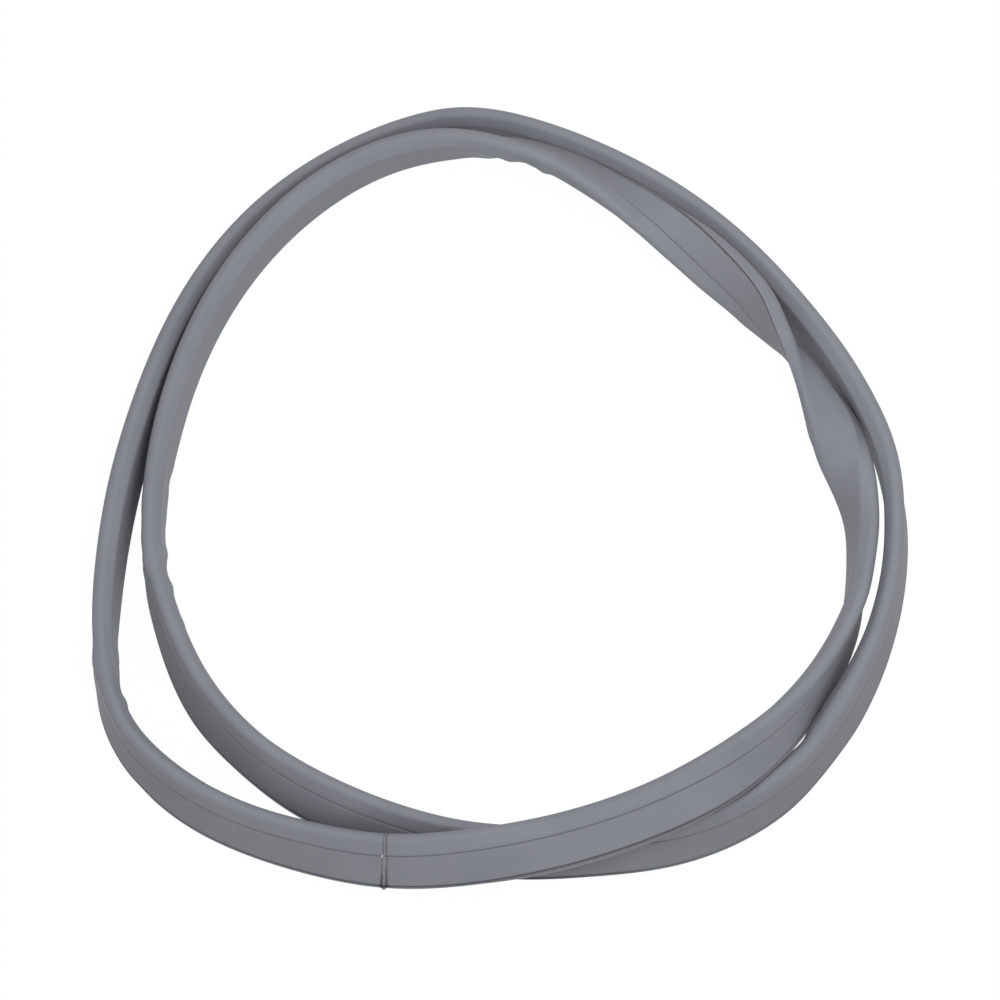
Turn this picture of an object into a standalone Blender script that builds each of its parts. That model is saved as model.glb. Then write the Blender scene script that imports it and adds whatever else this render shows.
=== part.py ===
"""Dryer door seal: one hollow rubber strip whose two ends are glued into a loop, laid down in two turns.

The strip lies on the plane Z = 0. It starts at the glued joint at the front, runs round twice
anticlockwise as seen from above, and turns over once on its way, so the loop has one full twist.
In its section X points out of the coil and Y points up where the roll is zero, and the origin is
the groove between the bulb and the flange.
"""

from math import ceil, cos, pi, radians, sin

import bmesh
import bpy
import numpy as np
from mathutils import Matrix, Vector
from mathutils.geometry import convex_hull_2d

MM = 0.001

# Section of the strip
FLANGE_WIDTH = 12.4 * MM
STRIP_THICKNESS = 7.8 * MM
LIP_GROOVE_WIDTH = 0.45 * MM
LIP_GROOVE_DEPTH = 0.3 * MM
LIP_BEAD = 0.8 * MM
LIP_SLANT = 0.5 * MM
LIP_EDGE_RADIUS = 0.35 * MM
LIP_HEEL_RADIUS = 3.6 * MM
BULB_REACH = 8.3 * MM
BULB_RADIUS = 3.0 * MM
BULB_CREST = 0.05 * MM
BULB_HEEL_REACH = 5.8 * MM
BULB_HEEL_RADIUS = 2.2 * MM
GROOVE_WIDTH = 0.5 * MM
GROOVE_DEPTH = 0.6 * MM
WALL_THICKNESS = 1.3 * MM
CHAMBER_CORNER_RADIUS = 0.5 * MM

# Glued joint
ADHESIVE_THICKNESS = 0.8 * MM
ADHESIVE_PROUD = 0.25 * MM
JOINT_GAP = 0.3 * MM

# How the strip lies on the floor and on itself
LAID_CLEARANCE = 0.9 * MM
BEND_REACH = 34.0 * MM
SQUARE_END = 2.0 * MM

# Outer edge of the turn that lies on top, in mm, and its roll in degrees. The joint is at the first
# place after the two that lead up to it.
BEFORE_JOINT = (
    (-100.6, -137.0, 39),
    (-77.1, -144.7, 31),
)
AFTER_JOINT = (
    (-45.1, -150.5, 21),
    (-12.2, -149.5, 9),
    (19.0, -144.8, -3),
    (50.1, -136.0, -7),
    (79.8, -122.8, 3),
    (93.7, -114.2, 17),
    (106.5, -103.8, 33),
    (117.7, -91.7, 49),
    (127.2, -78.3, 62),
    (134.9, -63.7, 72),
    (139.5, -48.2, 84),
    (142.3, -36.5, 95),
    (144.6, -24.4, 102),
    (146.1, -12.0, 111),
    (146.0, 0.6, 127),
    (145.3, 8.9, 142),
    (143.7, 17.4, 161),
    (140.9, 25.7, 182),
    (134.8, 36.1, 213),
    (127.2, 45.3, 240),
    (119.5, 54.5, 262),
    (115.0, 60.8, 277),
    (111.6, 67.9, 292),
    (107.7, 75.1, 304),
    (103.2, 82.2, 314),
    (96.5, 90.1, 323),
    (89.2, 97.3, 330),
    (81.6, 104.3, 340),
    (73.7, 110.7, 357),
    (65.4, 116.5, 378),
    (56.5, 121.3, 398),
    (45.7, 125.8, 419),
    (35.0, 130.5, 430),
    (20.1, 136.1, 439),
    (3.9, 139.5, 446),
    (-12.4, 141.9, 461),
    (-28.7, 142.1, 470),
    (-45.1, 138.5, 473),
    (-74.1, 123.7, 475),
    (-98.1, 101.6, 473),
    (-116.4, 75.2, 470),
    (-129.1, 45.7, 466),
    (-135.2, 22.7, 463),
    (-138.5, -1.0, 458),
    (-138.7, -17.1, 455),
    (-137.4, -33.3, 443),
    (-134.4, -49.1, 436),
    (-126.5, -72.9, 424),
    (-118.4, -88.0, 414),
    (-101.0, -106.8, 406),
    (-81.1, -121.6, 394),
)

# Inner edge of the turn that lies beneath, in mm, and its roll in degrees
LOWER_TURN = (
    (-57.7, -111.1, 391),
    (-36.3, -119.1, 390),
    (-18.0, -123.8, 387),
    (8.0, -126.4, 383),
    (36.0, -125.6, 387),
    (63.0, -123.5, 398),
    (87.8, -115.7, 406),
    (99.6, -109.0, 411),
    (110.5, -100.4, 417),
    (119.9, -89.9, 422),
    (127.9, -78.0, 425),
    (140.5, -52.0, 433),
    (147.5, -24.0, 442),
    (148.2, -9.1, 446),
    (146.6, 5.7, 453),
    (141.8, 20.1, 459),
    (134.8, 33.5, 463),
    (126.0, 45.7, 469),
    (107.5, 68.5, 473),
    (86.6, 89.8, 475),
    (63.3, 108.2, 474),
    (37.0, 123.2, 472),
    (9.2, 133.6, 472),
    (-4.1, 136.4, 473),
    (-16.8, 136.8, 474),
    (-30.3, 134.0, 475),
    (-56.9, 123.0, 476),
    (-81.1, 107.1, 476),
    (-101.9, 86.1, 474),
    (-117.8, 61.4, 472),
    (-129.9, 33.7, 470),
    (-138.4, 5.0, 470),
    (-144.4, -24.3, 466),
    (-147.8, -54.0, 457),
    (-148.3, -65.4, 449),
    (-145.9, -76.1, 441),
    (-141.5, -85.9, 433),
    (-134.9, -94.3, 424),
    (-124.1, -103.8, 414),
    (-111.8, -111.6, 406),
)

# Where the hollow strip is squeezed narrower and thinner: distance from the joint and reach each way,
# in mm, and the least share of its full size
SQUEEZES = (
    (285, 38, 0.94),
    (335, 12, 0.94),
    (400, 36, 0.81),
    (1020, 24, 0.92),
)

# Fineness of the solid
FINE_STEP = 3.0 * MM
LONGEST_STEP = 17.0 * MM
MOST_TURN_PER_STEP = radians(12)
STRIP_CORNER_SIDES = (12, 8, 16, 12)
CHAMBER_CORNER_SIDES = (8, 4, 8, 6)
PLACES_ACROSS = 60
SHARP_ANGLE = radians(35)

SEAL_COLOUR = (0.25, 0.262, 0.292, 1)
ADHESIVE_COLOUR = (0.42, 0.43, 0.45, 1)


def belt(corners, sides):
    """Points of a belt pulled anticlockwise round the corners (x, y, radius), each a circle of some sides."""
    points = []
    for (x, y, r), count in zip(corners, sides):
        angles = [2 * pi * k / count for k in range(count)]
        points += [Vector((x + r * cos(angle), y + r * sin(angle))) for angle in angles]
    return [points[i] for i in convex_hull_2d(points)]


def strip_corners(proud=0.0):
    """Round corners of the strip's section: lip heel, lip edge, bulb and bulb heel."""
    edge = FLANGE_WIDTH + LIP_BEAD
    right = edge + LIP_SLANT
    return [
        (right - LIP_HEEL_RADIUS, LIP_HEEL_RADIUS - STRIP_THICKNESS, LIP_HEEL_RADIUS + proud),
        (edge - LIP_EDGE_RADIUS, -LIP_EDGE_RADIUS, LIP_EDGE_RADIUS + proud),
        (BULB_RADIUS - BULB_REACH, BULB_CREST - BULB_RADIUS, BULB_RADIUS + proud),
        (BULB_HEEL_RADIUS - BULB_HEEL_REACH, BULB_HEEL_RADIUS - STRIP_THICKNESS, BULB_HEEL_RADIUS + proud),
    ]


def chamber_corners(narrowed=0.0):
    """Round corners of the hollow chamber, a wall inside the strip's own."""
    wall = WALL_THICKNESS + narrowed
    inset = WALL_THICKNESS + CHAMBER_CORNER_RADIUS
    right = FLANGE_WIDTH + LIP_BEAD + LIP_SLANT
    left_heel = BULB_HEEL_RADIUS - BULB_HEEL_REACH
    return [
        (right - LIP_HEEL_RADIUS, LIP_HEEL_RADIUS - STRIP_THICKNESS, LIP_HEEL_RADIUS - wall),
        (FLANGE_WIDTH + LIP_BEAD - inset, -inset, CHAMBER_CORNER_RADIUS - narrowed),
        (BULB_RADIUS - BULB_REACH, BULB_CREST - BULB_RADIUS, BULB_RADIUS - wall),
        (left_heel, BULB_HEEL_RADIUS - STRIP_THICKNESS, BULB_HEEL_RADIUS - wall),
    ]


def strip_outline():
    """Outline of the strip's section, with a groove at each edge of the flange."""
    points = belt(strip_corners(), STRIP_CORNER_SIDES)
    before = next(i for i, point in enumerate(points) if point.x > 0 >= points[(i + 1) % len(points)].x)
    lip_groove = (FLANGE_WIDTH, LIP_GROOVE_WIDTH, LIP_GROOVE_DEPTH)
    bulb_groove = (0.0, GROOVE_WIDTH, GROOVE_DEPTH)
    grooves = []
    for x, width, depth in (lip_groove, bulb_groove):
        grooves += [(x + width / 2, 0.0), (x, -depth), (x - width / 2, 0.0)]
    return np.array(points[: before + 1] + grooves + points[before + 1 :])


def turned(outline, roll):
    """Across and up from the section's middle, when the section is rolled outwards."""
    middle = (outline.min(axis=0) + outline.max(axis=0)) / 2
    x, y = (outline - middle).T
    return x * cos(roll) + y * sin(roll), y * cos(roll) - x * sin(roll)


def size_along(distance):
    """Share of its full size that the section has at a distance from the joint."""
    size = 1.0
    for place, reach, least in SQUEEZES:
        apart = min(abs(distance - place * MM) / (reach * MM), 1)
        size -= (1 - least) * (1 + cos(pi * apart)) / 2
    return size


def station_rows(turn, outer, outline):
    """Middle of the section and roll at each station, from the edge that the turn is measured at."""
    edge = np.array([station[:2] for station in turn]) * MM
    along = np.gradient(edge, axis=0)
    along /= np.linalg.norm(along, axis=1)[:, None]
    rows = []
    for (x, y), (ahead_x, ahead_y), station in zip(edge, along, turn):
        across, _ = turned(outline, radians(station[2]))
        reach = across.max() if outer else across.min()
        rows.append((x - ahead_y * reach, y + ahead_x * reach, radians(station[2])))
    return rows


def smooth_loop(rows, step):
    """Closed cubic curve through the rows, as points about a step apart, and the row each one follows."""
    rows = np.array(rows)
    count = len(rows)
    ahead = np.roll(rows, -1, axis=0)
    ahead[-1, 2] += 2 * pi
    rise = ahead - rows
    length = np.linalg.norm(rise[:, :2], axis=1)
    slope = rise / length[:, None]
    system = np.zeros((count, count))
    wanted = np.zeros_like(rows)
    for i in range(count):
        system[i, i - 1] = length[i]
        system[i, i] = 2 * (length[i - 1] + length[i])
        system[i, (i + 1) % count] = length[i - 1]
        wanted[i] = 3 * (slope[i - 1] * length[i] + slope[i] * length[i - 1])
    tangent = np.linalg.solve(system, wanted)
    points = []
    follows = []
    for i in range(count):
        steps = ceil(length[i] / step)
        for t in np.arange(steps) / steps:
            start = (1 + 2 * t) * (1 - t) ** 2 * rows[i] + t * (1 - t) ** 2 * length[i] * tangent[i]
            end = t * t * (3 - 2 * t) * ahead[i] + t * t * (t - 1) * length[i] * tangent[(i + 1) % count]
            points.append(start + end)
            follows.append(i)
    return np.array(points), np.array(follows)


def bend_over(height):
    """Heights of a strip that bends softly over the given ones and is nowhere below them."""
    most = ceil(BEND_REACH / FINE_STEP)
    nearby = range(-most, most + 1)
    highest = np.max([np.roll(height, k) for k in nearby], axis=0)
    weights = [1 + cos(pi * min(abs(k) * FINE_STEP / BEND_REACH, 1)) for k in nearby]
    return sum(weight * np.roll(highest, k) for k, weight in zip(nearby, weights)) / sum(weights)


def height_over(across, up, places, highest):
    """Highest or lowest point of a closed outline above each of the places across it."""
    found = np.full(len(places), -np.inf if highest else np.inf)
    for i in range(len(across)):
        low, high = sorted((across[i - 1], across[i]))
        if high - low < LIP_EDGE_RADIUS / 10:
            continue
        inside = (places >= low) & (places <= high)
        share = (places[inside] - across[i - 1]) / (across[i] - across[i - 1])
        level = up[i - 1] + share * (up[i] - up[i - 1])
        found[inside] = np.maximum(found[inside], level) if highest else np.minimum(found[inside], level)
    return found


def laid_heights(plan, along, sections, upper):
    """Height of the section's middle all along the strip, as it lies on the floor and on itself."""
    out = np.stack([along[:, 1], -along[:, 0]], axis=1)
    height = bend_over(np.array([-up.min() for _, up in sections]))
    needed = height.copy()
    below = np.flatnonzero(~upper)
    reach = 2 * (FLANGE_WIDTH + LIP_BEAD + LIP_SLANT + BULB_REACH)
    for i in np.flatnonzero(upper):
        apart = plan[below] - plan[i]
        along_strip = np.abs(below - i)
        other_turn = np.minimum(along_strip, len(plan) - along_strip) > len(plan) / 4
        near = other_turn & (np.linalg.norm(apart, axis=1) < reach)
        if not near.any():
            continue
        nearest = np.argmin(np.abs(apart[near] @ along[i]))
        j = below[near][nearest]
        lower_across = sections[j][0] + apart[near][nearest] @ out[i]
        upper_across, upper_up = sections[i]
        low = max(lower_across.min(), upper_across.min())
        high = min(lower_across.max(), upper_across.max())
        if high <= low:
            continue
        places = np.linspace(low, high, PLACES_ACROSS)
        top = height_over(lower_across, sections[j][1] + height[j], places, True)
        bottom = height_over(upper_across, upper_up, places, False)
        needed[i] = max(needed[i], (top - bottom)[np.isfinite(top - bottom)].max() + LAID_CLEARANCE)
    settled = bend_over(needed)
    lowest = min(level + up.min() for level, (_, up) in zip(settled, sections))
    return settled - lowest


def laid_strip(outline):
    """Points along the laid strip's middle, with its roll and size there, right round from the joint."""
    upper_rows = station_rows(BEFORE_JOINT + AFTER_JOINT, True, outline)
    lower_rows = station_rows(LOWER_TURN, False, outline)
    loop, follows = smooth_loop(upper_rows + lower_rows, FINE_STEP)
    plan = loop[:, :2]
    roll = loop[:, 2]
    along = np.roll(plan, -1, axis=0) - np.roll(plan, 1, axis=0)
    along /= np.linalg.norm(along, axis=1)[:, None]
    joint = np.flatnonzero(follows == len(BEFORE_JOINT))[0]
    lengths = np.linalg.norm(np.roll(plan, -1, axis=0) - plan, axis=1)
    distance = np.cumsum(lengths) - lengths
    size = np.array([size_along(place) for place in (distance - distance[joint]) % lengths.sum()])
    sections = [turned(outline * share, angle) for share, angle in zip(size, roll)]
    height = laid_heights(plan, along, sections, follows < len(upper_rows))
    x = [middle[0] + ahead[1] * across for middle, ahead, (across, _) in zip(plan, along, sections)]
    y = [middle[1] - ahead[0] * across for middle, ahead, (across, _) in zip(plan, along, sections)]
    centre = (np.max(x) + np.min(x)) / 2, (np.max(y) + np.min(y)) / 2
    points = np.column_stack([plan - centre, height])
    points = np.concatenate([points[joint:], points[: joint + 1]])
    roll = np.concatenate([roll[joint:], roll[: joint + 1] + 2 * pi])
    size = np.concatenate([size[joint:], size[: joint + 1]])
    return points, roll, size


def stations_along(points, roll, size, trim):
    """Stations of the sweep: closer where the strip turns over, and both ends square to the joint."""
    lengths = np.linalg.norm(np.diff(points, axis=0), axis=1)
    turn = np.abs(np.diff(roll))
    effort = np.concatenate([[0], np.cumsum(lengths / LONGEST_STEP + turn / MOST_TURN_PER_STEP)])
    wanted = np.linspace(0, effort[-1], ceil(effort[-1]) + 1)[1:-1]
    place = np.column_stack([np.interp(wanted, effort, points[:, k]) for k in range(3)])
    ahead = points[1] - points[-2]
    ahead /= np.linalg.norm(ahead)
    start = [points[0] + ahead * trim, points[0] + ahead * (trim + SQUARE_END)]
    end = [points[0] - ahead * (trim + SQUARE_END), points[0] - ahead * trim]
    angle = np.interp(wanted, effort, roll)
    angle = np.concatenate([[roll[0], roll[0]], angle, [roll[-1], roll[-1]]])
    share = np.interp(wanted, effort, size)
    share = np.concatenate([[size[0], size[0]], share, [size[-1], size[-1]]])
    return np.concatenate([start, place, end]), angle, share


def frame_at(point, ahead, roll):
    """Placement of a section whose X is outwards and Y is up, rolled outwards about the strip."""
    forward = Vector(ahead).normalized()
    out = Vector((forward.y, -forward.x, 0)).normalized()
    up = out.cross(forward)
    x_axis = out * cos(roll) - up * sin(roll)
    y_axis = out * sin(roll) + up * cos(roll)
    matrix = Matrix((x_axis, y_axis, -forward)).transposed().to_4x4()
    matrix.translation = Vector(point)
    return matrix


def flat_curve(name, loops):
    """A 2D curve with one closed polyline for each loop of points."""
    curve = bpy.data.curves.new(name, "CURVE")
    curve.dimensions = "2D"
    for points in loops:
        spline = curve.splines.new("POLY")
        spline.points.add(len(points) - 1)
        for target, (x, y) in zip(spline.points, points):
            target.co = (x, y, 0, 1)
        spline.use_cyclic_u = True
    return curve


def sweep(name, outline, middle, stations, collection):
    """A closed mesh of the outline swept along the stations, with flat ends."""
    profile_curve = flat_curve(name + "_profile", [np.array(outline) - middle])
    profile = bpy.data.objects.new(name + "_profile", profile_curve)
    curve = bpy.data.curves.new(name, "CURVE")
    curve.dimensions = "3D"
    curve.twist_mode = "Z_UP"
    curve.bevel_mode = "OBJECT"
    curve.bevel_object = profile
    curve.use_fill_caps = True
    spline = curve.splines.new("POLY")
    spline.points.add(len(stations[0]) - 1)
    for target, point, angle, share in zip(spline.points, *stations):
        target.co = (*point, 1)
        target.tilt = angle
        target.radius = share
    swept = bpy.data.objects.new(name + "_sweep", curve)
    collection.objects.link(profile)
    collection.objects.link(swept)
    bpy.context.view_layer.update()
    mesh = bpy.data.meshes.new_from_object(swept.evaluated_get(bpy.context.evaluated_depsgraph_get()))
    bpy.data.objects.remove(swept)
    bpy.data.objects.remove(profile)
    shape = bmesh.new()
    shape.from_mesh(mesh)
    bmesh.ops.remove_doubles(shape, verts=shape.verts, dist=MM / 1000)
    bmesh.ops.recalc_face_normals(shape, faces=shape.faces)
    shape.to_mesh(mesh)
    shape.free()
    result = bpy.data.objects.new(name, mesh)
    collection.objects.link(result)
    return result


def material(name, colour, roughness):
    """A plain material of one colour."""
    made = bpy.data.materials.new(name)
    made.use_nodes = True
    shader = made.node_tree.nodes["Principled BSDF"]
    shader.inputs["Base Color"].default_value = colour
    shader.inputs["Roughness"].default_value = roughness
    shader.inputs["Metallic"].default_value = 0.0
    return made


def door_seal(outline, points, roll, size, parts, cutters):
    """The hollow strip: the swept section less the swept chamber, which runs out at both ends."""
    middle = (outline.min(axis=0) + outline.max(axis=0)) / 2
    half_joint = ADHESIVE_THICKNESS / 2 + JOINT_GAP
    seal = sweep("door_seal", outline, middle, stations_along(points, roll, size, half_joint), parts)
    chamber_outline = belt(chamber_corners(), CHAMBER_CORNER_SIDES)
    chamber_stations = stations_along(points, roll, size, half_joint / 2)
    chamber = sweep("chamber", chamber_outline, middle, chamber_stations, cutters)
    chamber.hide_render = True
    chamber.display_type = "WIRE"
    cut = seal.modifiers.new("chamber", "BOOLEAN")
    cut.operation = "DIFFERENCE"
    cut.solver = "EXACT"
    cut.object = chamber
    seal.data.materials.append(material("grey_rubber", SEAL_COLOUR, 0.5))
    seal.data.shade_smooth()
    seal.data.set_sharp_from_angle(angle=SHARP_ANGLE)


def splice_adhesive(outline, points, roll, parts):
    """The cured adhesive that fills the butt joint and stands a little proud of it."""
    middle = (outline.min(axis=0) + outline.max(axis=0)) / 2
    rim = np.array(belt(strip_corners(ADHESIVE_PROUD), STRIP_CORNER_SIDES)) - middle
    hole = np.array(belt(chamber_corners(ADHESIVE_PROUD), CHAMBER_CORNER_SIDES)) - middle
    curve = flat_curve("splice_adhesive", [rim, hole])
    curve.fill_mode = "BOTH"
    curve.extrude = ADHESIVE_THICKNESS / 2
    bead = bpy.data.objects.new("splice_adhesive", curve)
    parts.objects.link(bead)
    bead.matrix_world = frame_at(points[0], points[1] - points[-2], roll[0])
    curve.materials.append(material("cured_adhesive", ADHESIVE_COLOUR, 0.3))


def build():
    """Makes the seal in a cleared scene."""
    for old in list(bpy.data.objects):
        bpy.data.objects.remove(old, do_unlink=True)
    parts = bpy.data.collections.new("dryer_door_seal")
    cutters = bpy.data.collections.new("cutters")
    bpy.context.scene.collection.children.link(parts)
    bpy.context.scene.collection.children.link(cutters)
    outline = strip_outline()
    points, roll, size = laid_strip(outline)
    door_seal(outline, points, roll, size, parts, cutters)
    splice_adhesive(outline, points, roll, parts)


build()
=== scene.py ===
"""Looks of the dryer door seal: the grey rubber strip, the adhesive at its joint, and the stage."""

from math import ceil, cos, pi, radians, sin

import bmesh
import bpy
import numpy as np
from mathutils import Matrix, Vector
from mathutils.geometry import convex_hull_2d


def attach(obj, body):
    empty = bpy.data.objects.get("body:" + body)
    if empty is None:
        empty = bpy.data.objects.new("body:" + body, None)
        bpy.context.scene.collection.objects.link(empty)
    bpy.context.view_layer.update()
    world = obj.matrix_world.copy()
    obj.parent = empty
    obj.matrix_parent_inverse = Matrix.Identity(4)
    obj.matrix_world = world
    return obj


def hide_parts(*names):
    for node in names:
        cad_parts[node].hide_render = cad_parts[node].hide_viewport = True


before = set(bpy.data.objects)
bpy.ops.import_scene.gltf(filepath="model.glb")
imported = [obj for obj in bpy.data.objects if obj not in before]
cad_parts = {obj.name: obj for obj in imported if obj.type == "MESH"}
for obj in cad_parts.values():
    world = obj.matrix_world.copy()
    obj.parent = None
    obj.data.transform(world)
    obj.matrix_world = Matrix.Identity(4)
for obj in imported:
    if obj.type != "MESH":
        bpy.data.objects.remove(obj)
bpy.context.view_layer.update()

MM = 0.001

# Section of the strip and its joint, as in the model's source
FLANGE_WIDTH = 12.4 * MM
STRIP_THICKNESS = 7.8 * MM
LIP_BEAD = 0.8 * MM
LIP_SLANT = 0.5 * MM
LIP_EDGE_RADIUS = 0.35 * MM
LIP_HEEL_RADIUS = 3.6 * MM
BULB_REACH = 8.3 * MM
BULB_RADIUS = 3.0 * MM
BULB_CREST = 0.05 * MM
BULB_HEEL_REACH = 5.8 * MM
BULB_HEEL_RADIUS = 2.2 * MM
ADHESIVE_THICKNESS = 0.8 * MM
LAID_CLEARANCE = 0.9 * MM
BEND_REACH = 34.0 * MM

# Outer edge of the turn that lies on top, in mm, and its roll in degrees. The joint is at the first
# place after the two that lead up to it.
BEFORE_JOINT = (
    (-100.6, -137.0, 39),
    (-77.1, -144.7, 31),
)
AFTER_JOINT = (
    (-45.1, -150.5, 21),
    (-12.2, -149.5, 9),
    (19.0, -144.8, -3),
    (50.1, -136.0, -7),
    (79.8, -122.8, 3),
    (93.7, -114.2, 17),
    (106.5, -103.8, 33),
    (117.7, -91.7, 49),
    (127.2, -78.3, 62),
    (134.9, -63.7, 72),
    (139.5, -48.2, 84),
    (142.3, -36.5, 95),
    (144.6, -24.4, 102),
    (146.1, -12.0, 111),
    (146.0, 0.6, 127),
    (145.3, 8.9, 142),
    (143.7, 17.4, 161),
    (140.9, 25.7, 182),
    (134.8, 36.1, 213),
    (127.2, 45.3, 240),
    (119.5, 54.5, 262),
    (115.0, 60.8, 277),
    (111.6, 67.9, 292),
    (107.7, 75.1, 304),
    (103.2, 82.2, 314),
    (96.5, 90.1, 323),
    (89.2, 97.3, 330),
    (81.6, 104.3, 340),
    (73.7, 110.7, 357),
    (65.4, 116.5, 378),
    (56.5, 121.3, 398),
    (45.7, 125.8, 419),
    (35.0, 130.5, 430),
    (20.1, 136.1, 439),
    (3.9, 139.5, 446),
    (-12.4, 141.9, 461),
    (-28.7, 142.1, 470),
    (-45.1, 138.5, 473),
    (-74.1, 123.7, 475),
    (-98.1, 101.6, 473),
    (-116.4, 75.2, 470),
    (-129.1, 45.7, 466),
    (-135.2, 22.7, 463),
    (-138.5, -1.0, 458),
    (-138.7, -17.1, 455),
    (-137.4, -33.3, 443),
    (-134.4, -49.1, 436),
    (-126.5, -72.9, 424),
    (-118.4, -88.0, 414),
    (-101.0, -106.8, 406),
    (-81.1, -121.6, 394),
)

# Inner edge of the turn that lies beneath, in mm, and its roll in degrees
LOWER_TURN = (
    (-57.7, -111.1, 391),
    (-36.3, -119.1, 390),
    (-18.0, -123.8, 387),
    (8.0, -126.4, 383),
    (36.0, -125.6, 387),
    (63.0, -123.5, 398),
    (87.8, -115.7, 406),
    (99.6, -109.0, 411),
    (110.5, -100.4, 417),
    (119.9, -89.9, 422),
    (127.9, -78.0, 425),
    (140.5, -52.0, 433),
    (147.5, -24.0, 442),
    (148.2, -9.1, 446),
    (146.6, 5.7, 453),
    (141.8, 20.1, 459),
    (134.8, 33.5, 463),
    (126.0, 45.7, 469),
    (107.5, 68.5, 473),
    (86.6, 89.8, 475),
    (63.3, 108.2, 474),
    (37.0, 123.2, 472),
    (9.2, 133.6, 472),
    (-4.1, 136.4, 473),
    (-16.8, 136.8, 474),
    (-30.3, 134.0, 475),
    (-56.9, 123.0, 476),
    (-81.1, 107.1, 476),
    (-101.9, 86.1, 474),
    (-117.8, 61.4, 472),
    (-129.9, 33.7, 470),
    (-138.4, 5.0, 470),
    (-144.4, -24.3, 466),
    (-147.8, -54.0, 457),
    (-148.3, -65.4, 449),
    (-145.9, -76.1, 441),
    (-141.5, -85.9, 433),
    (-134.9, -94.3, 424),
    (-124.1, -103.8, 414),
    (-111.8, -111.6, 406),
)

# Where the hollow strip is squeezed narrower and thinner: distance from the joint and reach each way,
# in mm, and the least share of its full size
SQUEEZES = (
    (285, 38, 0.94),
    (335, 12, 0.94),
    (400, 36, 0.81),
    (1020, 24, 0.92),
)

# Where the lip side is pinched thin as the strip turns over: distance from the joint and reach each way,
# in mm, and the most share of its thickness that is lost
LIP_PINCHES = (
    (312, 30, 0.5),
)

# Where the strip folds narrower and lies flatter just before it turns over: distance from the joint and
# reach each way, in mm, with the most share of its width that is lost, or the most roll taken off, in
# degrees
FOLDS = (
    (316, 27, 0.35),
)
FLATTER_ROLLS = (
    (308, 25, 21),
)

# Slanting creases in the back where it starts to turn over: distance from the joint, reach each way and
# depth, in mm, and how far a crease moves along the strip for each mm across it
CREASES = (
    (264, 3, 0.5),
    (274, 3.5, 0.6),
    (285, 4, 0.6),
)
CREASE_SLANT = 0.67

# Unevennesses of the two sides as seen from above: distance from the joint, reach each way and height, in
# mm. A bump fades from the side towards the middle of the strip by this power.
BUMP_FADE = 1.5
INNER_BUMPS = (
    (445.3, 4, 0.75),
    (453.4, 3.5, -0.4),
    (460.2, 4.5, 0.9),
    (468, 9, 0.9),
    (670, 6, -0.5),
    (688.6, 4, -0.2),
    (699.2, 6.5, 1.15),
    (711.8, 4.5, 0.7),
    (726.8, 4, 0.25),
    (1004, 15, 1.0),
    (1023, 8, -0.7),
    (1036, 44, 1.8),
    (1636.3, 10.5, 1.15),
    (1651.8, 4.5, 0.7),
    (1690, 45, 0.4),
)
OUTER_BUMPS = (
    (686, 9, -0.4),
    (702.3, 6.5, 0.85),
    (780, 45, -0.45),
    (1636.3, 11, 1.15),
    (1683, 8, -0.2),
)

# Fineness of the strip. The sides of the round corners are those of the lip heel, lip edge, bulb and bulb
# heel, first for working out the route and then for the dressed strip.
FINE_STEP = 1.7 * MM
LONGEST_FLAT = 1.3 * MM
PLACES_ACROSS = 60
ROUTE_CORNER_SIDES = (12, 8, 16, 12)
FINE_CORNER_SIDES = (56, 20, 56, 40)

# Rounded grooves beside the lip and the bulb: place across the section, width and depth. Their shape is
# given by places across, in widths, and the share of the depth at each.
FINE_LIP_GROOVE = (FLANGE_WIDTH, 0.8 * MM, 0.8 * MM)
FINE_BULB_GROOVE = (0.0, 0.45 * MM, 0.45 * MM)
GROOVE_SHAPE = ((0.8, 0.0), (0.5, 0.1), (0.25, 0.6), (0.0, 1.0), (-0.25, 0.6), (-0.5, 0.1), (-0.8, 0.0))

# How far the cut ends of the strip are drawn in on the flange, and the share of that off the flange. The
# one fades into the other over this distance from the bulb groove.
END_RECESS = 0.45 * MM
RECESS_OFF_FLANGE = 0.3
FLANGE_FADE = FLANGE_WIDTH / 8

# Bead of adhesive: its reach along the strip each way, how far it stands proud and how much less on the
# flange, and the tip at its outermost point
BEAD_REACH = 0.5 * MM
BEAD_REACH_ON_FLANGE = 1.0 * MM
BEAD_PROUD = 0.2 * MM
BEAD_LOWER_ON_FLANGE = 0.8
BEAD_TIP = 0.7 * MM
BEAD_TIP_REACH = 0.8 * MM

# Waves in how far the bead stands proud: share of it, radians per metre round the bead, and start
BEAD_WAVES = (
    (0.3, 1900, 0),
    (0.25, 4300, 1),
)

# Bead across the joint: place along the strip as a share of its reach, share of how far it stands proud,
# and how far it is sunk into the strip
BEAD_PROFILE = (
    (-1.0, 0.0, 0.6 * MM),
    (-0.9, 0.3, 0.2 * MM),
    (-0.5, 0.9, 0.0),
    (0.0, 1.0, 0.0),
    (0.5, 0.9, 0.0),
    (0.9, 0.3, 0.2 * MM),
    (1.0, 0.0, 0.6 * MM),
)

# Drop of adhesive in the bulb groove: place along the strip from the joint, and reach across, along and up
DROP_ALONG = -0.9 * MM
DROP_REACH = (0.8 * MM, 0.5 * MM, 0.4 * MM)
DROP_SIDES = 32
DROP_RINGS = 20

# Colours of the rubber and of the adhesive, each from its darkest to its palest. The drop is a real drop of
# adhesive, and its pale colours are a painted highlight.
RUBBER_COLOURS = ((0.213, 0.225, 0.252, 1), (0.240, 0.252, 0.279, 1))
BEAD_COLOURS = ((0.13, 0.135, 0.15, 1), (0.27, 0.28, 0.3, 1))
DROP_COLOURS_PAINTED_HIGHLIGHT = ((0.34, 0.36, 0.38, 1), (0.52, 0.54, 0.56, 1))

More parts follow.
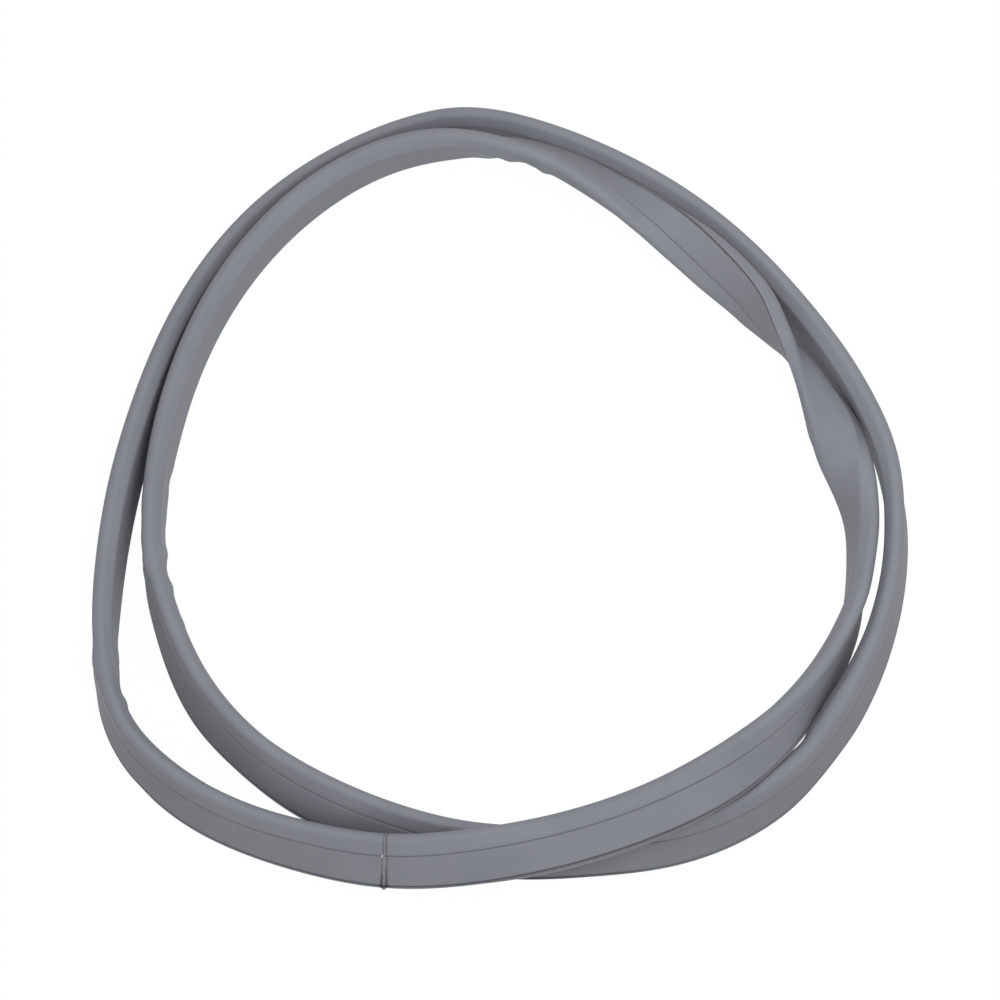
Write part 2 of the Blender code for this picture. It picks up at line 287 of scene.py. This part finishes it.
# Noise in the two materials: scale, detail and roughness. The drawn lines are long along the strip, whose
# UVs are stretched for them.
PATCHES = (38.0, 3.0, 0.55)
DRAWN_LINES = (1.0, 4.0, 0.6)
DRAWN_STRETCH = (14.0, 2600.0, 1.0)
GRAIN = (2600.0, 3.0, 0.6)
LUMPS = (900.0, 3.0, 0.6)

# Painted shade and light round the section: painted shade in the lip and bulb grooves and on the flange,
# and painted light on the bulb. Distance on from the flange's start at the lip groove (0) or from its end
# at the bulb groove (1), as a share of the girth, and the share of the rubber's own colour there
PAINTED_SHADE_BANDS = (
    (0, -0.03, 1.0),
    (0, -0.012, 0.5),
    (0, 0.008, 0.96),
    (1, -0.008, 0.96),
    (1, 0.0, 0.85),
    (1, 0.03, 1.03),
    (1, 0.2, 1.03),
)

# Camera straight above. Its frame is this wide at the height of the strip's edges.
CAMERA_X = -0.17 * MM
CAMERA_Y = -0.78 * MM
CAMERA_HEIGHT = 8.0
CAMERA_CLIP_END = 100.0
PHOTO_WIDTH = 0.386
EDGE_HEIGHT = 0.018
SENSOR_WIDTH = 36.0

# Light
LAMP_PLACE = (0.3, 0.22, 0.8)
LAMP_SIZE = 0.7
LAMP_POWER = 2.85
SKY_STRENGTH = 0.72

# Floor, which glows where the camera sees it
FLOOR_SIZE = 60.0
FLOOR_LEVEL = -0.1 * MM
FLOOR_GREY = 0.45
FLOOR_GLOW = 1.04
FLOOR_GLOW_SHARE = 0.94


def belt(corners, sides):
    """Points, anticlockwise, of a belt pulled round circles (x, y, radius), each of so many sides."""
    points = []
    for (x, y, r), count in zip(corners, sides):
        angles = [2 * pi * k / count for k in range(count)]
        points += [Vector((x + r * cos(angle), y + r * sin(angle))) for angle in angles]
    return [points[i] for i in convex_hull_2d(points)]


def strip_corners():
    """Round corners of the strip's section: lip heel, lip edge, bulb and bulb heel."""
    edge = FLANGE_WIDTH + LIP_BEAD
    right = edge + LIP_SLANT
    return [
        (right - LIP_HEEL_RADIUS, LIP_HEEL_RADIUS - STRIP_THICKNESS, LIP_HEEL_RADIUS),
        (edge - LIP_EDGE_RADIUS, -LIP_EDGE_RADIUS, LIP_EDGE_RADIUS),
        (BULB_RADIUS - BULB_REACH, BULB_CREST - BULB_RADIUS, BULB_RADIUS),
        (BULB_HEEL_RADIUS - BULB_HEEL_REACH, BULB_HEEL_RADIUS - STRIP_THICKNESS, BULB_HEEL_RADIUS),
    ]


def route_outline():
    """Outline of the section that the route is worked out with."""
    return np.array(belt(strip_corners(), ROUTE_CORNER_SIDES))


def fine_outline():
    """Smooth outline of the section with two rounded grooves, its long flats divided."""
    points = [tuple(point) for point in belt(strip_corners(), FINE_CORNER_SIDES)]
    before = next(i for i, point in enumerate(points) if point[0] > 0 >= points[(i + 1) % len(points)][0])
    grooves = []
    for x, width, depth in (FINE_LIP_GROOVE, FINE_BULB_GROOVE):
        grooves += [(x + width * aside, -depth * share) for aside, share in GROOVE_SHAPE]
    points = points[: before + 1] + grooves + points[before + 1 :]
    divided = []
    for point, following in zip(points, points[1:] + points[:1]):
        start, end = np.array(point), np.array(following)
        steps = ceil(np.linalg.norm(end - start) / LONGEST_FLAT)
        divided += [start + (end - start) * k / steps for k in range(steps)]
    return np.array(divided)


def turned(outline, roll):
    """Across and up from the section's middle, when the section is rolled outwards."""
    middle = (outline.min(axis=0) + outline.max(axis=0)) / 2
    x, y = (outline - middle).T
    return x * cos(roll) + y * sin(roll), y * cos(roll) - x * sin(roll)


def size_along(distance):
    """Share of its full size that the section has at a distance from the joint."""
    size = 1.0
    for place, reach, least in SQUEEZES:
        apart = min(abs(distance - place * MM) / (reach * MM), 1)
        size -= (1 - least) * (1 + cos(pi * apart)) / 2
    return size


def station_rows(turn, outer, outline):
    """Middle of the section and roll at each station, from the edge that the turn is measured at."""
    edge = np.array([station[:2] for station in turn]) * MM
    along = np.gradient(edge, axis=0)
    along /= np.linalg.norm(along, axis=1)[:, None]
    rows = []
    for (x, y), (ahead_x, ahead_y), station in zip(edge, along, turn):
        across, _ = turned(outline, radians(station[2]))
        reach = across.max() if outer else across.min()
        rows.append((x - ahead_y * reach, y + ahead_x * reach, radians(station[2])))
    return rows


def smooth_loop(rows, step):
    """Closed cubic curve through the rows: points about a step apart, and the row that each follows."""
    rows = np.array(rows)
    count = len(rows)
    ahead = np.roll(rows, -1, axis=0)
    ahead[-1, 2] += 2 * pi
    rise = ahead - rows
    length = np.linalg.norm(rise[:, :2], axis=1)
    slope = rise / length[:, None]
    system = np.zeros((count, count))
    wanted = np.zeros_like(rows)
    for i in range(count):
        system[i, i - 1] = length[i]
        system[i, i] = 2 * (length[i - 1] + length[i])
        system[i, (i + 1) % count] = length[i - 1]
        wanted[i] = 3 * (slope[i - 1] * length[i] + slope[i] * length[i - 1])
    tangent = np.linalg.solve(system, wanted)
    points = []
    follows = []
    for i in range(count):
        steps = ceil(length[i] / step)
        for t in np.arange(steps) / steps:
            start = (1 + 2 * t) * (1 - t) ** 2 * rows[i] + t * (1 - t) ** 2 * length[i] * tangent[i]
            end = t * t * (3 - 2 * t) * ahead[i] + t * t * (t - 1) * length[i] * tangent[(i + 1) % count]
            points.append(start + end)
            follows.append(i)
    return np.array(points), np.array(follows)


def bend_over(height):
    """Heights of a strip that bends softly over the given ones and is nowhere below them."""
    most = ceil(BEND_REACH / FINE_STEP)
    nearby = range(-most, most + 1)
    highest = np.max([np.roll(height, k) for k in nearby], axis=0)
    weights = [1 + cos(pi * min(abs(k) * FINE_STEP / BEND_REACH, 1)) for k in nearby]
    return sum(weight * np.roll(highest, k) for k, weight in zip(nearby, weights)) / sum(weights)


def height_over(across, up, places, highest):
    """Highest or lowest point of a closed outline above each of the places across it."""
    found = np.full(len(places), -np.inf if highest else np.inf)
    for i in range(len(across)):
        low, high = sorted((across[i - 1], across[i]))
        if high - low < LIP_EDGE_RADIUS / 10:
            continue
        inside = (places >= low) & (places <= high)
        share = (places[inside] - across[i - 1]) / (across[i] - across[i - 1])
        level = up[i - 1] + share * (up[i] - up[i - 1])
        found[inside] = np.maximum(found[inside], level) if highest else np.minimum(found[inside], level)
    return found


def laid_heights(plan, along, sections, upper):
    """Height of the section's middle all along the strip, as it lies on the floor and on itself."""
    out = np.stack([along[:, 1], -along[:, 0]], axis=1)
    height = bend_over(np.array([-up.min() for _, up in sections]))
    needed = height.copy()
    below = np.flatnonzero(~upper)
    reach = 2 * (FLANGE_WIDTH + LIP_BEAD + LIP_SLANT + BULB_REACH)
    for i in np.flatnonzero(upper):
        apart = plan[below] - plan[i]
        along_strip = np.abs(below - i)
        other_turn = np.minimum(along_strip, len(plan) - along_strip) > len(plan) / 4
        near = other_turn & (np.linalg.norm(apart, axis=1) < reach)
        if not near.any():
            continue
        nearest = np.argmin(np.abs(apart[near] @ along[i]))
        j = below[near][nearest]
        lower_across = sections[j][0] + apart[near][nearest] @ out[i]
        upper_across, upper_up = sections[i]
        low = max(lower_across.min(), upper_across.min())
        high = min(lower_across.max(), upper_across.max())
        if high <= low:
            continue
        places = np.linspace(low, high, PLACES_ACROSS)
        top = height_over(lower_across, sections[j][1] + height[j], places, True)
        bottom = height_over(upper_across, upper_up, places, False)
        needed[i] = max(needed[i], (top - bottom)[np.isfinite(top - bottom)].max() + LAID_CLEARANCE)
    settled = bend_over(needed)
    lowest = min(level + up.min() for level, (_, up) in zip(settled, sections))
    return settled - lowest


def laid_strip(outline):
    """Points along the laid strip's middle, with its roll and size there, all round from the joint."""
    upper_rows = station_rows(BEFORE_JOINT + AFTER_JOINT, True, outline)
    lower_rows = station_rows(LOWER_TURN, False, outline)
    loop, follows = smooth_loop(upper_rows + lower_rows, FINE_STEP)
    plan = loop[:, :2]
    roll = loop[:, 2]
    along = np.roll(plan, -1, axis=0) - np.roll(plan, 1, axis=0)
    along /= np.linalg.norm(along, axis=1)[:, None]
    joint = np.flatnonzero(follows == len(BEFORE_JOINT))[0]
    lengths = np.linalg.norm(np.roll(plan, -1, axis=0) - plan, axis=1)
    distance = np.cumsum(lengths) - lengths
    size = np.array([size_along(place) for place in (distance - distance[joint]) % lengths.sum()])
    sections = [turned(outline * share, angle) for share, angle in zip(size, roll)]
    height = laid_heights(plan, along, sections, follows < len(upper_rows))
    x = [middle[0] + ahead[1] * across for middle, ahead, (across, _) in zip(plan, along, sections)]
    y = [middle[1] - ahead[0] * across for middle, ahead, (across, _) in zip(plan, along, sections)]
    centre = (np.max(x) + np.min(x)) / 2, (np.max(y) + np.min(y)) / 2
    points = np.column_stack([plan - centre, height])
    points = np.concatenate([points[joint:], points[: joint + 1]])
    roll = np.concatenate([roll[joint:], roll[: joint + 1] + 2 * pi])
    size = np.concatenate([size[joint:], size[: joint + 1]])
    return points, roll, size


def section_axes(points, roll):
    """The section's X and Y directions at each point of a closed route whose last point is its first."""
    ahead = np.empty_like(points)
    ahead[1:-1] = points[2:] - points[:-2]
    ahead[0] = ahead[-1] = points[1] - points[-2]
    ahead /= np.linalg.norm(ahead, axis=1)[:, None]
    out = np.column_stack([ahead[:, 1], -ahead[:, 0], np.zeros(len(points))])
    out /= np.linalg.norm(out, axis=1)[:, None]
    up = np.cross(out, ahead)
    c, s = np.cos(roll)[:, None], np.sin(roll)[:, None]
    return out * c - up * s, out * s + up * c, ahead


def outline_normals(outline):
    """Outward direction at each point of the outline."""
    along = np.roll(outline, -1, axis=0) - np.roll(outline, 1, axis=0)
    normal = np.stack([along[:, 1], -along[:, 0]], axis=1)
    return normal / np.linalg.norm(normal, axis=1)[:, None]


def swept_mesh(name, rings, distance, around):
    """A closed tube mesh through the rings, capped at both ends, with UVs in metres along and round it."""
    count, sides = rings.shape[:2]
    corner = np.arange(sides)
    first = (np.arange(count - 1) * sides)[:, None]
    here = first + corner
    beside = first + (corner + 1) % sides
    faces = np.stack([here, here + sides, beside + sides, beside], axis=2).reshape(-1, 4).tolist()
    faces.append(corner.tolist())
    faces.append(((count - 1) * sides + corner)[::-1].tolist())
    mesh = bpy.data.meshes.new(name)
    mesh.from_pydata(rings.reshape(-1, 3).tolist(), [], faces)
    girth = around[-1] + np.linalg.norm(rings[0, 0] - rings[0, -1])
    add_uvs(mesh, count, sides, distance, around, girth)
    mesh.shade_smooth()
    mesh.validate()
    made = bpy.data.objects.new(name, mesh)
    bpy.context.scene.collection.objects.link(made)
    return made


def add_uvs(mesh, count, sides, distance, around, girth):
    """UVs of a tube of so many rings: its distance along, and its distance around up to the girth."""
    vertex = np.empty(len(mesh.loops), dtype=int)
    mesh.loops.foreach_get("vertex_index", vertex)
    values = np.column_stack([distance[vertex // sides], around[vertex % sides]])
    wrapped = vertex[: (count - 1) * sides * 4].reshape(-1, 4) % sides
    seam = wrapped.max(axis=1) - wrapped.min(axis=1) > 1
    loops = np.flatnonzero(seam)[:, None] * 4 + np.arange(4)
    at_start = vertex[loops] % sides == 0
    values[loops[at_start], 1] = girth
    uv = mesh.uv_layers.new(name="strip")
    uv.data.foreach_set("uv", values.ravel())


def new_material(name):
    """An empty node material, with its node tree and its shader."""
    made = bpy.data.materials.new(name)
    made.use_nodes = True
    tree = made.node_tree
    return made, tree, tree.nodes["Principled BSDF"]


def noise(tree, coordinates, scale, detail, roughness):
    """A noise texture on the given coordinates."""
    node = tree.nodes.new("ShaderNodeTexNoise")
    node.inputs["Scale"].default_value = scale
    node.inputs["Detail"].default_value = detail
    node.inputs["Roughness"].default_value = roughness
    tree.links.new(coordinates, node.inputs["Vector"])
    return node.outputs["Fac"]


def stretched(tree, coordinates, scale):
    """The coordinates, scaled along each axis."""
    node = tree.nodes.new("ShaderNodeMapping")
    node.inputs["Scale"].default_value = scale
    tree.links.new(coordinates, node.inputs["Vector"])
    return node.outputs["Vector"]


def grey(level):
    """An opaque grey."""
    return (level, level, level, 1)


def ramp(tree, value, stops):
    """Colours at places along the value, from 0..1, blended between the places."""
    node = tree.nodes.new("ShaderNodeValToRGB")
    band = node.color_ramp
    while len(band.elements) < len(stops):
        band.elements.new(1.0)
    for element, (place, colour) in zip(band.elements, stops):
        element.position = place
        element.color = colour
    tree.links.new(value, node.inputs["Fac"])
    return node.outputs["Color"]


def multiplied(tree, first, second):
    """Two colours multiplied with each other."""
    node = tree.nodes.new("ShaderNodeMix")
    node.data_type = "RGBA"
    node.blend_type = "MULTIPLY"
    node.inputs["Factor"].default_value = 1.0
    tree.links.new(first, node.inputs["A"])
    tree.links.new(second, node.inputs["B"])
    return node.outputs["Result"]


def bumped(tree, height, distance, strength, normal=None):
    """A bump from the height, on top of another bump where one is given."""
    node = tree.nodes.new("ShaderNodeBump")
    node.inputs["Strength"].default_value = strength
    node.inputs["Distance"].default_value = distance
    tree.links.new(height, node.inputs["Height"])
    if normal is not None:
        tree.links.new(normal, node.inputs["Normal"])
    return node.outputs["Normal"]


def ranged(tree, value, low, high):
    """The value, from 0..1, mapped to low..high."""
    node = tree.nodes.new("ShaderNodeMapRange")
    node.inputs["To Min"].default_value = low
    node.inputs["To Max"].default_value = high
    tree.links.new(value, node.inputs["Value"])
    return node.outputs["Result"]


def painted_light_and_shade(tree, uv, outline):
    """Painted shade and light round the section: painted shade in the grooves and on the flange, and
    painted light on the bulb.
    """
    around = travelled(outline)
    x, y = outline.T
    on_flange = (y > -LIP_EDGE_RADIUS) & (x > 0) & (x < FLANGE_WIDTH)
    share = (around / around[-1])[on_flange]
    grooves = share.min(), share.max()
    split = tree.nodes.new("ShaderNodeSeparateXYZ")
    tree.links.new(uv, split.inputs["Vector"])
    turn = tree.nodes.new("ShaderNodeMapRange")
    turn.inputs["From Max"].default_value = around[-1]
    tree.links.new(split.outputs["Y"], turn.inputs["Value"])
    stops = [(grooves[groove] + aside, grey(level)) for groove, aside, level in PAINTED_SHADE_BANDS]
    return ramp(tree, turn.outputs["Result"], stops + [(1.0, grey(1.0))])


def rubber(outline):
    """Soft grey rubber: mottled in patches, with fine drawn lines along it and a faintly grained skin, with
    painted shade in its grooves and on its flange and painted light on its bulb.
    """
    made, tree, shader = new_material("grey_rubber_skin")
    place = tree.nodes.new("ShaderNodeTexCoord").outputs["Object"]
    strip = tree.nodes.new("ShaderNodeUVMap")
    strip.uv_map = "strip"
    uv = strip.outputs["UV"]
    patches = noise(tree, place, *PATCHES)
    lines = noise(tree, stretched(tree, uv, DRAWN_STRETCH), *DRAWN_LINES)
    grain = noise(tree, place, *GRAIN)
    colour = ramp(tree, patches, list(zip((0.3, 0.7), RUBBER_COLOURS)))
    colour = multiplied(tree, colour, ramp(tree, lines, ((0.3, grey(0.97)), (0.7, grey(1.0)))))
    colour = multiplied(tree, colour, ramp(tree, grain, ((0.35, grey(0.93)), (0.65, grey(1.0)))))
    # Painted shade in the grooves and on the flange, and painted light on the bulb, multiplied into the
    # colour
    colour = multiplied(tree, colour, painted_light_and_shade(tree, uv, outline))
    tree.links.new(colour, shader.inputs["Base Color"])
    tree.links.new(ranged(tree, patches, low=0.52, high=0.66), shader.inputs["Roughness"])
    normal = bumped(tree, lines, distance=0.03 * MM, strength=0.3)
    normal = bumped(tree, grain, distance=0.04 * MM, strength=0.6, normal=normal)
    tree.links.new(normal, shader.inputs["Normal"])
    shader.inputs["Specular IOR Level"].default_value = 0.4
    return made


def adhesive(name, colours):
    """Cured adhesive over the grey rubber, uneven and glossy, in colours from dark to pale."""
    made, tree, shader = new_material(name)
    place = tree.nodes.new("ShaderNodeTexCoord").outputs["Object"]
    lumps = noise(tree, place, *LUMPS)
    colour = ramp(tree, lumps, list(zip((0.35, 0.65), colours)))
    tree.links.new(colour, shader.inputs["Base Color"])
    tree.links.new(ranged(tree, lumps, low=0.2, high=0.5), shader.inputs["Roughness"])
    tree.links.new(bumped(tree, lumps, distance=0.3 * MM, strength=0.7), shader.inputs["Normal"])
    return made


def floor_material():
    """Pale floor that shows as white round the object, but keeps its shadow."""
    made, tree, shader = new_material("pale_floor")
    tree.nodes.remove(shader)
    output = tree.nodes["Material Output"]
    diffuse = tree.nodes.new("ShaderNodeBsdfDiffuse")
    diffuse.inputs["Color"].default_value = grey(FLOOR_GREY)
    glow = tree.nodes.new("ShaderNodeEmission")
    glow.inputs["Color"].default_value = grey(1)
    glow.inputs["Strength"].default_value = FLOOR_GLOW
    shown = tree.nodes.new("ShaderNodeMixShader")
    share = tree.nodes.new("ShaderNodeMath")
    share.operation = "MULTIPLY"
    share.inputs[1].default_value = FLOOR_GLOW_SHARE
    tree.links.new(seen_rays(tree), share.inputs[0])
    tree.links.new(share.outputs[0], shown.inputs["Fac"])
    tree.links.new(diffuse.outputs[0], shown.inputs[1])
    tree.links.new(glow.outputs[0], shown.inputs[2])
    tree.links.new(shown.outputs[0], output.inputs["Surface"])
    return made


def seen_rays(tree):
    """1 for camera, glossy and transmission rays, and 0 for the rest."""
    rays = tree.nodes.new("ShaderNodeLightPath")
    total = rays.outputs["Is Camera Ray"]
    for kind in ("Is Glossy Ray", "Is Transmission Ray"):
        either = tree.nodes.new("ShaderNodeMath")
        either.operation = "MAXIMUM"
        tree.links.new(total, either.inputs[0])
        tree.links.new(rays.outputs[kind], either.inputs[1])
        total = either.outputs[0]
    return total


def travelled(points):
    """Distance of each point from the first, along the line through them."""
    return np.concatenate([[0], np.cumsum(np.linalg.norm(np.diff(points, axis=0), axis=1))])


def raised(distance, bumps):
    """Total height of smooth bumps (place, reach, height) at each distance, in the heights' own unit."""
    height = np.zeros(len(distance))
    for place, reach, tall in bumps:
        apart = np.minimum(np.abs(distance - place * MM) / (reach * MM), 1)
        height += tall * (1 + np.cos(pi * apart)) / 2
    return height


def uneven(rings, centre, ahead, distance):
    """The rings with their inner and outer sides, as seen from above, pushed out by the bumps."""
    out = np.column_stack([ahead[:, 1], -ahead[:, 0], np.zeros(len(ahead))])
    out /= np.linalg.norm(out, axis=1)[:, None]
    across = ((rings - centre[:, None]) * out[:, None]).sum(axis=2)
    inner = np.clip(across / across.min(axis=1)[:, None], 0, 1) ** BUMP_FADE
    outer = np.clip(across / across.max(axis=1)[:, None], 0, 1) ** BUMP_FADE
    push = outer * raised(distance, OUTER_BUMPS)[:, None] - inner * raised(distance, INNER_BUMPS)[:, None]
    return rings + out[:, None] * push[:, :, None] * MM


def creased(outline, distance):
    """Depth of the slanting creases at each ring and outline point, in mm, fading at the back's sides."""
    across_back = np.clip((outline[:, 0] + BULB_HEEL_REACH) / (FLANGE_WIDTH + BULB_HEEL_REACH), 0, 1)
    on_back = np.sin(pi * across_back) * (outline[:, 1] < BULB_HEEL_RADIUS - STRIP_THICKNESS)
    depth = [raised(distance + CREASE_SLANT * across, CREASES) for across in outline[:, 0]]
    return np.stack(depth, axis=1) * on_back


def flange_share(outline):
    """How far each outline point lies on the flange: 1 on it, and 0 on the bulb and the back."""
    on_top = outline[:, 1] > -STRIP_THICKNESS / 2
    return np.clip(outline[:, 0] / FLANGE_FADE, 0, 1) * on_top


def seal_strip(points, roll, size):
    """The rubber strip from end to end, with its grooves, pinches and small unevennesses."""
    outline = fine_outline()
    middle = (outline.min(axis=0) + outline.max(axis=0)) / 2
    in_plan = travelled(points[:, :2])
    around = travelled(outline)
    x_axis, y_axis, ahead = section_axes(points, roll - np.radians(raised(in_plan, FLATTER_ROLLS)))
    place = points.copy()
    place[0] += ahead[0] * ADHESIVE_THICKNESS / 2
    place[-1] -= ahead[0] * ADHESIVE_THICKNESS / 2
    local = (outline - middle)[None] * size[:, None, None]
    local[:, :, 0] *= 1 - raised(in_plan, FOLDS)[:, None]
    towards_lip = np.clip(outline[:, 0] / FLANGE_WIDTH, 0, 1)
    local[:, :, 1] *= 1 - raised(in_plan, LIP_PINCHES)[:, None] * towards_lip
    local[:, :, 1] += creased(outline, in_plan) * MM
    drawn_in = RECESS_OFF_FLANGE + (1 - RECESS_OFF_FLANGE) * flange_share(outline)
    local[[0, -1]] -= outline_normals(outline) * (END_RECESS * drawn_in)[:, None]
    rings = place[:, None] + x_axis[:, None] * local[:, :, :1] + y_axis[:, None] * local[:, :, 1:]
    rings = uneven(rings, place, ahead, in_plan)
    strip = swept_mesh("seal_strip", rings, travelled(points), around)
    strip.data.materials.append(rubber(outline))
    return strip


def adhesive_bead(points, roll):
    """The cured adhesive round the joint."""
    outline = fine_outline()
    normals = outline_normals(outline)
    middle = (outline.min(axis=0) + outline.max(axis=0)) / 2
    x_axis, y_axis, ahead = section_axes(points, roll)
    around = travelled(outline)
    on_flange = flange_share(outline)
    reach = BEAD_REACH + (BEAD_REACH_ON_FLANGE - BEAD_REACH) * on_flange
    waves = sum((share * np.sin(around * often + start) for share, often, start in BEAD_WAVES), 1.0)
    proud = BEAD_PROUD * (1 - BEAD_LOWER_ON_FLANGE * on_flange) * waves
    tip = around[np.argmax(turned(outline, roll[0])[0])]
    proud += BEAD_TIP * np.exp(-(((around - tip) / BEAD_TIP_REACH) ** 2))
    rings = []
    for along, share, sunk in BEAD_PROFILE:
        edge = outline - middle + normals * (proud * share - sunk)[:, None]
        centre = points[0] + ahead[0] * along * reach[:, None]
        rings.append(centre + x_axis[0] * edge[:, :1] + y_axis[0] * edge[:, 1:])
    distance = np.array([along for along, _, _ in BEAD_PROFILE]) * BEAD_REACH
    bead = swept_mesh("adhesive_bead", np.array(rings), distance, around)
    bead.data.materials.append(adhesive("cured_adhesive_skin", BEAD_COLOURS))
    # The drop's pale material is a painted highlight on the real drop of adhesive
    bead.data.materials.append(adhesive("cured_adhesive_drop_painted_highlight", DROP_COLOURS_PAINTED_HIGHLIGHT))
    groove = points[0] - x_axis[0] * middle[0] - y_axis[0] * middle[1] + ahead[0] * DROP_ALONG
    axes = [Vector(axis[0]) * reach for axis, reach in zip((x_axis, ahead, y_axis), DROP_REACH)]
    add_drop(bead, Matrix.Translation(groove) @ Matrix(axes).transposed().to_4x4())
    return bead


def add_drop(bead, placement):
    """A small smooth drop of the adhesive, added to the bead's mesh at the placement."""
    shape = bmesh.new()
    shape.from_mesh(bead.data)
    top = shape.verts.new(placement @ Vector((0, 0, 1)))
    rings = [[top] * DROP_SIDES]
    turns = [2 * pi * k / DROP_SIDES for k in range(DROP_SIDES)]
    for ring in range(1, DROP_RINGS):
        polar = pi * ring / DROP_RINGS
        points = [Vector((sin(polar) * cos(turn), sin(polar) * sin(turn), cos(polar))) for turn in turns]
        rings.append([shape.verts.new(placement @ point) for point in points])
    bottom = shape.verts.new(placement @ Vector((0, 0, -1)))
    rings.append([bottom] * DROP_SIDES)
    for upper, lower in zip(rings, rings[1:]):
        for k in range(DROP_SIDES):
            corners = dict.fromkeys((upper[k - 1], lower[k - 1], lower[k], upper[k]))
            face = shape.faces.new(tuple(corners))
            face.material_index = 1
            face.smooth = True
    shape.to_mesh(bead.data)
    shape.free()


def stage():
    """Floor, sky, lamp and camera."""
    half = FLOOR_SIZE / 2
    mesh = bpy.data.meshes.new("floor")
    corners = [(x, y, FLOOR_LEVEL) for x, y in ((-half, -half), (half, -half), (half, half), (-half, half))]
    mesh.from_pydata(corners, [], [(0, 1, 2, 3)])
    floor = bpy.data.objects.new("floor", mesh)
    bpy.context.scene.collection.objects.link(floor)
    floor.data.materials.append(floor_material())

    world = bpy.data.worlds.new("studio")
    world.use_nodes = True
    tree = world.node_tree
    sky = tree.nodes["Background"]
    strength = tree.nodes.new("ShaderNodeMapRange")
    strength.inputs["To Min"].default_value = SKY_STRENGTH
    strength.inputs["To Max"].default_value = 1.0
    tree.links.new(seen_rays(tree), strength.inputs["Value"])
    tree.links.new(strength.outputs["Result"], sky.inputs["Strength"])
    sky.inputs["Color"].default_value = grey(1)
    bpy.context.scene.world = world

    light = bpy.data.lights.new("soft_box", "AREA")
    light.energy = LAMP_POWER
    light.size = LAMP_SIZE
    lamp = bpy.data.objects.new("soft_box", light)
    lamp.location = LAMP_PLACE
    bpy.context.scene.collection.objects.link(lamp)

    lens = bpy.data.cameras.new("camera")
    lens.sensor_width = SENSOR_WIDTH
    lens.lens = SENSOR_WIDTH * (CAMERA_HEIGHT - EDGE_HEIGHT) / PHOTO_WIDTH
    lens.clip_end = CAMERA_CLIP_END
    camera = bpy.data.objects.new("camera", lens)
    camera.location = (CAMERA_X, CAMERA_Y, CAMERA_HEIGHT)
    bpy.context.scene.collection.objects.link(camera)
    bpy.context.scene.camera = camera
    bpy.context.scene.view_settings.view_transform = "Standard"


route, route_roll, route_size = laid_strip(route_outline())
strip = seal_strip(route, route_roll, route_size)
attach(strip, "root")
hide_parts("door_seal")
bead = adhesive_bead(route, route_roll)
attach(bead, "root")
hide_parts("splice_adhesive")
stage()
